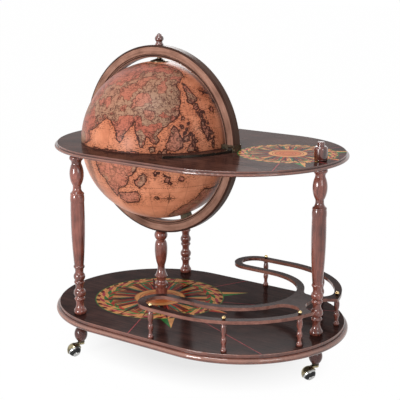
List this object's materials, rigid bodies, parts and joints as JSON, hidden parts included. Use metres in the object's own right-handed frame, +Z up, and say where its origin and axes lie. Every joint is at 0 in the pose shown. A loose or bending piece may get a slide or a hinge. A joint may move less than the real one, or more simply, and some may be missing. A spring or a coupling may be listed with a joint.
{
  "type": "floor globe bar",
  "caption": "Drinks globe in a meridian ring on a stadium table with turned legs, a lower shelf with gallery rail, and casters; the upper half globe opens as a lid.",
  "frame": {"origin": "on the floor under the centre of the table's outline", "axes": "+X along the table from the globe to the right leg, +Y away from the viewer, +Z up"},
  "size_m": [0.9958, 0.668, 1.0013],
  "materials": {
    "dark_wood": "dark gloss lacquer",
    "rail_wood": "gloss lacquer",
    "mahogany": "gloss lacquer",
    "ring_wood": "satin lacquer with dark edge lines",
    "globe_print": "varnished antique map print",
    "insert_wood": "satin lacquer",
    "dark_bronze": "dark patina",
    "hood_bronze": "polished antique brass",
    "brass": "polished",
    "steel": "plain",
    "tyre": "satin"
  },
  "bodies": {
    "stand": {"baluster_front_1": "mahogany", "baluster_front_2": "mahogany", "baluster_front_3": "mahogany", "baluster_rear_1": "mahogany", "baluster_rear_2": "mahogany", "baluster_rear_3": "mahogany", "bar_insert": "insert_wood", "bottle_floor": "insert_wood", "bun_foot_front_left": "mahogany", "bun_foot_rear_left": "mahogany", "bun_foot_right": "mahogany", "caster_socket_front_left": "brass", "caster_socket_rear_left": "brass", "caster_socket_right": "brass", "fitting_screws": "steel", "gallery_rail": "rail_wood", "globe_lower": "globe_print", "hinge_pin": "steel", "hinge_table_leaf": "dark_bronze", "leg_finial": "mahogany", "leg_front_left": "mahogany", "leg_rear_left": "mahogany", "leg_right": "mahogany", "lower_shelf": "dark_wood", "pedestal": "mahogany", "pedestal_dowel": "mahogany", "rail_ball_nuts": "brass", "ring_block_left": "dark_bronze", "ring_block_right": "dark_bronze", "ring_lower": "ring_wood", "stay_bracket": "dark_bronze", "stay_pin": "steel", "table_top": "dark_wood", "tie_rods": "steel"},
    "lid": {"globe_upper": "globe_print", "ring_upper": "ring_wood", "ring_shoe_left": "dark_bronze", "ring_shoe_right": "dark_bronze", "finial": "mahogany", "finial_pin": "mahogany", "pole_cap": "dark_bronze", "hinge_lid_leaf": "dark_bronze"},
    "stay": {"lid_stay": "dark_bronze"},
    "swivel_right": {"caster_hood_right": "hood_bronze", "caster_axle_right": "steel"},
    "wheel_right": {"caster_wheel_right": "steel", "caster_tyre_right": "tyre"},
    "swivel_front_left": {"caster_hood_front_left": "hood_bronze", "caster_axle_front_left": "steel"},
    "wheel_front_left": {"caster_wheel_front_left": "steel", "caster_tyre_front_left": "tyre"},
    "swivel_rear_left": {"caster_hood_rear_left": "hood_bronze", "caster_axle_rear_left": "steel"},
    "wheel_rear_left": {"caster_wheel_rear_left": "steel", "caster_tyre_rear_left": "tyre"}
  },
  "joints": [
    {"name": "lid_hinge", "type": "hinge", "parent": "stand", "child": "lid", "pos_m": [-0.151, 0.262, 0.6743], "axis": [-1, 0, 0], "range_deg": [0, 95]},
    {"name": "stay_pivot", "type": "hinge", "parent": "stand", "child": "stay", "pos_m": [0.15716, -0.04881, 0.6733], "axis": [-1, 0, 0], "range_deg": [0, 90]},
    {"name": "caster_swivel_right", "type": "hinge", "parent": "stand", "child": "swivel_right", "pos_m": [0.437, 0, 0.041], "axis": [0, 0, 1], "continuous": true},
    {"name": "caster_roll_right", "type": "hinge", "parent": "swivel_right", "child": "wheel_right", "pos_m": [0.42927, -0.02378, 0.02], "axis": [-0.7286, 0.2367, 0.6428], "continuous": true},
    {"name": "caster_swivel_front_left", "type": "hinge", "parent": "stand", "child": "swivel_front_left", "pos_m": [-0.259, -0.27559, 0.041], "axis": [0, 0, 1], "continuous": true},
    {"name": "caster_roll_front_left", "type": "hinge", "parent": "swivel_front_left", "child": "wheel_front_left", "pos_m": [-0.26673, -0.29937, 0.02], "axis": [-0.7286, 0.2367, 0.6428], "continuous": true},
    {"name": "caster_swivel_rear_left", "type": "hinge", "parent": "stand", "child": "swivel_rear_left", "pos_m": [-0.259, 0.27559, 0.041], "axis": [0, 0, 1], "continuous": true},
    {"name": "caster_roll_rear_left", "type": "hinge", "parent": "swivel_rear_left", "child": "wheel_rear_left", "pos_m": [-0.26673, 0.25182, 0.02], "axis": [-0.7286, 0.2367, 0.6428], "continuous": true}
  ]
}
